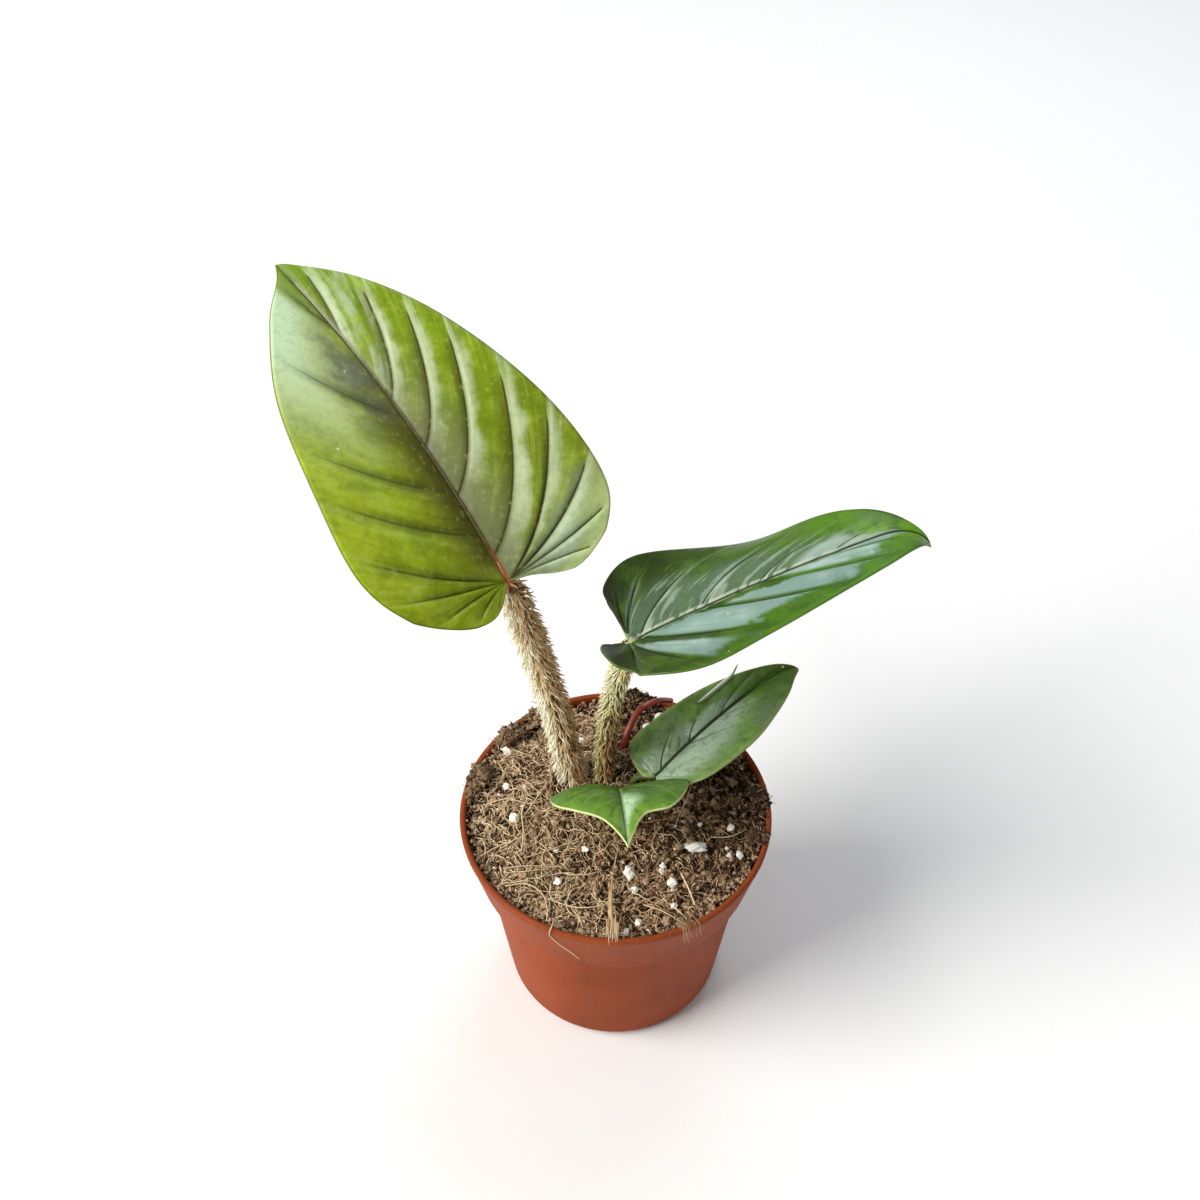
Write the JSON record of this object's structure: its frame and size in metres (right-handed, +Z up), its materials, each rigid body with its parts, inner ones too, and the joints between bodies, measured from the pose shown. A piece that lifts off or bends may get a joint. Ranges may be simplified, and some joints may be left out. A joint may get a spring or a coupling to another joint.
{
  "type": "potted philodendron serpens",
  "caption": "Young bristly-stemmed aroid with ribbed heart-shaped leaves, rooted in potting mix in a round flared plastic nursery pot.",
  "frame": {"origin": "centre of the pot's flat underside, where it rests", "axes": "+Z up along the pot's axis; -Y faces the viewer, the big leaf stands up to -X and the long leaf reaches to +X"},
  "size_m": [0.2362, 0.169, 0.2675],
  "materials": {
    "pot_plastic": "satin injection-moulded plastic",
    "potting_mix": "rough coir and peat with perlite",
    "stem_bark": "dull",
    "bristle_straw": "soft straw-coloured bristles",
    "young_petiole": "smooth",
    "red_sheath": "smooth, slightly shiny",
    "leaf_olive_green": "satin",
    "leaf_dark_green": "glossy",
    "leaf_grey_green": "satin",
    "leaf_mid_green": "satin"
  },
  "bodies": {
    "root": {"pot": "pot_plastic", "soil": "potting_mix", "creeping_stem": "stem_bark", "petiole_a": "bristle_straw", "petiole_b": "bristle_straw", "petiole_c": "young_petiole", "petiole_d": "young_petiole", "new_leaf_sheath": "red_sheath", "leaf_a": "leaf_olive_green", "leaf_b": "leaf_dark_green", "leaf_c": "leaf_grey_green", "leaf_d": "leaf_mid_green"}
  },
  "joints": []
}
